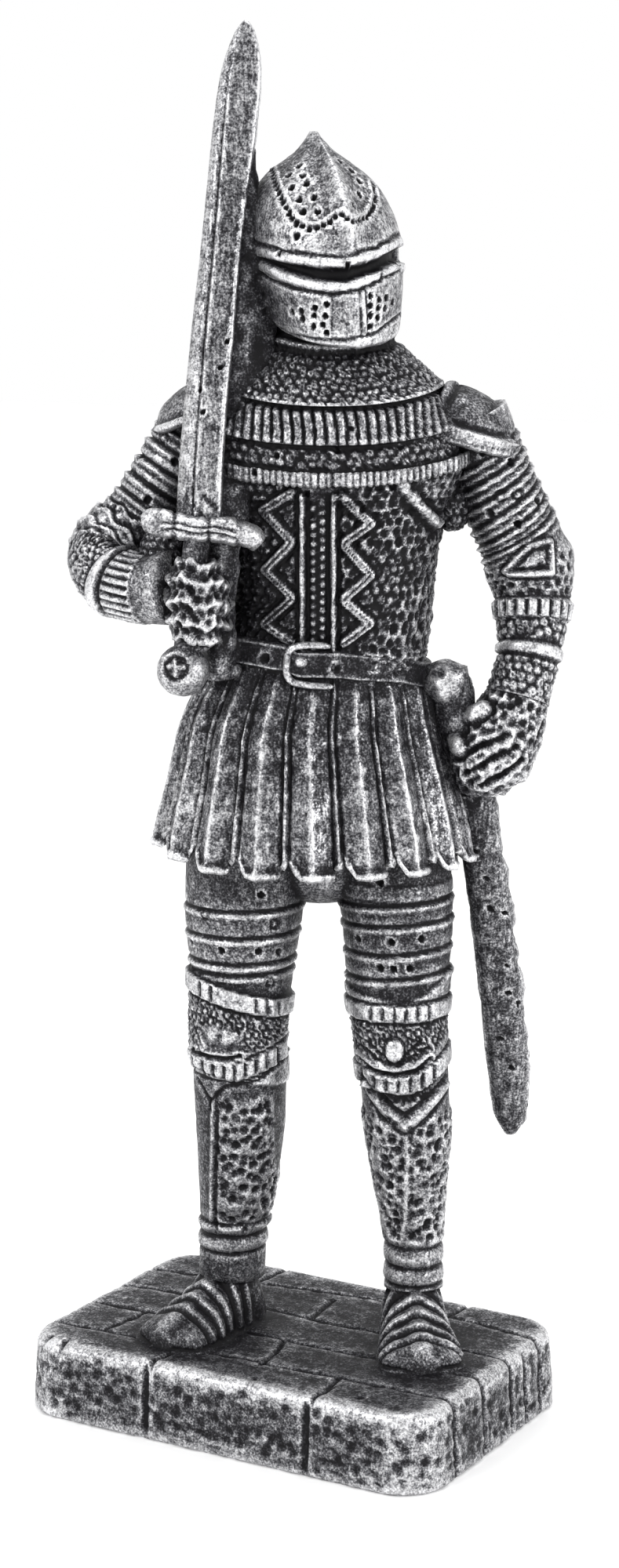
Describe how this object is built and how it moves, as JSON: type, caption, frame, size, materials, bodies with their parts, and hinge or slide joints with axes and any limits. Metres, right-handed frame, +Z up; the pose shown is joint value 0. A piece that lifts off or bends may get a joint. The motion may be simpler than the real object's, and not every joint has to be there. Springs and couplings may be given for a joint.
{
  "type": "knight aquarium ornament",
  "caption": "Cast resin knight in closed helm and plate armour, sword at the shoulder and a hand on the scabbard, standing on a flagstone plinth.",
  "frame": {"origin": "centre of the plinth's flat underside", "axes": "+Z up, +X along the plinth's long front edge to the right as seen from the front, +Y towards its back; the knight faces 30 degrees from -Y towards +X"},
  "size_m": [0.0684, 0.0478, 0.2],
  "materials": {
    "antiqued_silver_resin": "cast resin sprayed silver, washed black in the recesses and dry-brushed bright on the high places"
  },
  "bodies": {
    "root": {"knight_on_plinth": "antiqued_silver_resin"}
  },
  "joints": []
}
